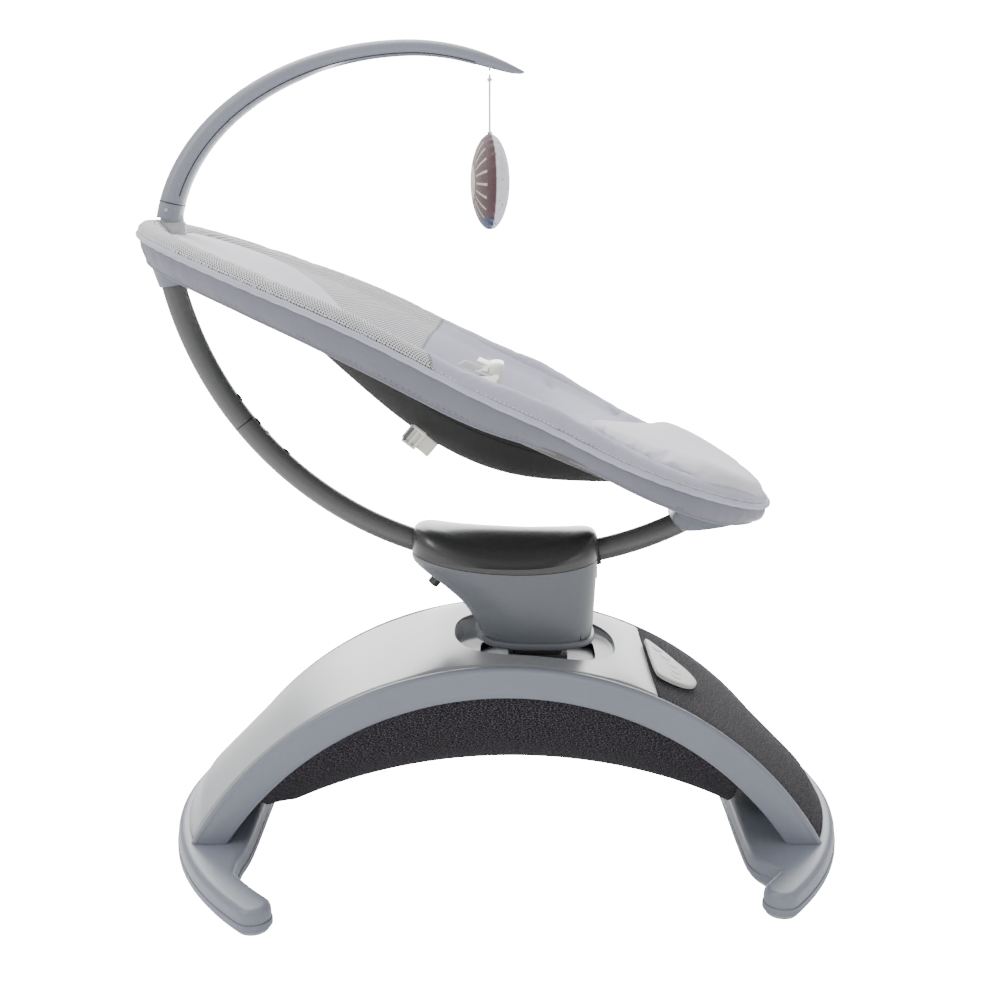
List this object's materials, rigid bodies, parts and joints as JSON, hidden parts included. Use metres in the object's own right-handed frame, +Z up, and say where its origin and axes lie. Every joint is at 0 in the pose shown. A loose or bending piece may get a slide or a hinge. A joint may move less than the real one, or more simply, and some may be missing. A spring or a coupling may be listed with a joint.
{
  "type": "motorised baby swing",
  "caption": "Motorised infant seat on an arched base: a moving pedestal carries a curved tube, a reclining oval seat, and a toy bar with a hanging plush toy.",
  "frame": {"origin": "on the floor, at the middle of the object's bounding box", "axes": "+X towards the baby's feet, +Y across the seat, +Z up"},
  "size_m": [0.7346, 0.524, 0.8378],
  "materials": {
    "light_plastic": "satin",
    "panel_plastic": "satin",
    "inner_plastic": "matte",
    "dark_plastic": "satin",
    "gear_plastic": "matte",
    "bar_plastic": "satin",
    "buckle_plastic": "gloss",
    "sole_rubber": "matte",
    "painted_tube": "powder coat",
    "steel": "brushed",
    "aluminium_tube": "plain",
    "charcoal_fabric": "heather knit",
    "seat_fabric": "smooth knit",
    "mesh_fabric": "spacer mesh",
    "skirt_fabric": "woven",
    "black_fabric": "mesh",
    "strap_cream": "webbing",
    "plush_fabric": "plush"
  },
  "bodies": {
    "base": {"foot_left": "light_plastic", "foot_right": "light_plastic", "sole_left": "sole_rubber", "sole_right": "sole_rubber", "top_cover": "light_plastic", "leg_fabric": "charcoal_fabric", "arch_tray": "inner_plastic", "rim_near": "light_plastic", "rim_far": "light_plastic", "belly_fabric": "charcoal_fabric", "control_panel": "panel_plastic", "rail_frame": "inner_plastic", "guide_rod_near": "steel", "guide_rod_far": "steel", "well_floor": "light_plastic", "sway_motor": "steel", "speaker": "dark_plastic", "power_inlet": "dark_plastic"},
    "power_key": {"power_button": "panel_plastic"},
    "motion_key": {"motion_button": "panel_plastic"},
    "speed_key": {"speed_button": "panel_plastic"},
    "sound_key": {"sound_button": "panel_plastic"},
    "volume_key": {"volume_button": "panel_plastic"},
    "carriage": {"carriage": "inner_plastic", "sway_rack": "gear_plastic", "lift_guide": "inner_plastic", "slot_shield": "light_plastic", "lift_motor": "steel"},
    "sway_gear": {"sway_pinion": "gear_plastic"},
    "lift_gear": {"lift_pinion": "gear_plastic"},
    "pedestal": {"lift_column": "inner_plastic", "lift_rack": "gear_plastic", "pedestal_housing": "light_plastic", "pedestal_cap": "dark_plastic", "pedestal_ring": "light_plastic", "tube_bush_left": "dark_plastic", "tube_bush_right": "dark_plastic"},
    "recline_release": {"recline_knob": "dark_plastic"},
    "seat": {"spine_tube_upper": "painted_tube", "spine_tube_lower": "painted_tube", "head_bracket": "inner_plastic", "foot_bracket": "inner_plastic", "bar_socket": "light_plastic", "ring_tube": "aluminium_tube", "rim_pad": "seat_fabric", "skirt": "skirt_fabric", "liner_head": "mesh_fabric", "liner_body": "seat_fabric", "liner_foot": "seat_fabric", "sling": "black_fabric", "sling_adjuster": "strap_cream", "crotch_strap": "strap_cream", "harness_buckle": "buckle_plastic", "waist_strap_near": "strap_cream", "waist_strap_far": "strap_cream"},
    "tube_snap": {"snap_button": "steel"},
    "buckle_release": {"buckle_button": "buckle_plastic"},
    "bar": {"toy_bar": "bar_plastic"},
    "toy": {"toy_string": "strap_cream", "plush_toy": "plush_fabric"}
  },
  "joints": [
    {"name": "power_press", "type": "slide", "parent": "base", "child": "power_key", "axis": [-0.4721, 0, -0.8815], "range_m": [0, 0.0008], "stiffness_N_per_m": 400},
    {"name": "motion_press", "type": "slide", "parent": "base", "child": "motion_key", "axis": [-0.4721, 0, -0.8815], "range_m": [0, 0.0008], "stiffness_N_per_m": 400},
    {"name": "speed_press", "type": "slide", "parent": "base", "child": "speed_key", "axis": [-0.4721, 0, -0.8815], "range_m": [0, 0.0008], "stiffness_N_per_m": 400},
    {"name": "sound_press", "type": "slide", "parent": "base", "child": "sound_key", "axis": [-0.4721, 0, -0.8815], "range_m": [0, 0.0008], "stiffness_N_per_m": 400},
    {"name": "volume_press", "type": "slide", "parent": "base", "child": "volume_key", "axis": [-0.4721, 0, -0.8815], "range_m": [0, 0.0008], "stiffness_N_per_m": 400},
    {"name": "sway", "type": "slide", "parent": "base", "child": "carriage", "axis": [1, 0, 0], "range_m": [-0.018, 0.016]},
    {"name": "sway_gear_spin", "type": "hinge", "parent": "base", "child": "sway_gear", "pos_m": [0.0153, -0.04, 0.1606], "axis": [0, 1, 0], "range_deg": [-92, 104]},
    {"name": "lift", "type": "slide", "parent": "carriage", "child": "pedestal", "axis": [0, 0, 1], "range_m": [-0.012, 0.03]},
    {"name": "lift_gear_spin", "type": "hinge", "parent": "carriage", "child": "lift_gear", "pos_m": [0.0393, 0.041, 0.162], "axis": [1, 0, 0], "range_deg": [-115, 46.5]},
    {"name": "recline", "type": "hinge", "parent": "pedestal", "child": "seat", "pos_m": [0.0253, 0, 0.678], "axis": [0, -1, 0], "range_deg": [0, 14]},
    {"name": "recline_press", "type": "slide", "parent": "pedestal", "child": "recline_release", "axis": [0.6157, 0, 0.788], "range_m": [0, 0.003], "stiffness_N_per_m": 800},
    {"name": "tube_snap_press", "type": "slide", "parent": "seat", "child": "tube_snap", "axis": [-0.7547, 0, -0.6561], "range_m": [0, 0.0015], "stiffness_N_per_m": 1000},
    {"name": "buckle_press", "type": "slide", "parent": "seat", "child": "buckle_release", "axis": [1, 0, 0], "range_m": [0, 0.002], "stiffness_N_per_m": 600},
    {"name": "bar_swivel", "type": "hinge", "parent": "seat", "child": "bar", "pos_m": [-0.3387, 0, 0.664], "axis": [0, 0, 1], "range_deg": [-90, 90]},
    {"name": "toy_swing", "type": "hinge", "parent": "bar", "child": "toy", "pos_m": [-0.0117, 0, 0.812], "axis": [0, 1, 0], "range_deg": [-30, 30]}
  ],
  "couplings": [
    {"joint": "sway_gear_spin", "follows": "sway", "rad_per_m": -100},
    {"joint": "lift_gear_spin", "follows": "lift", "rad_per_m": -66.667}
  ]
}
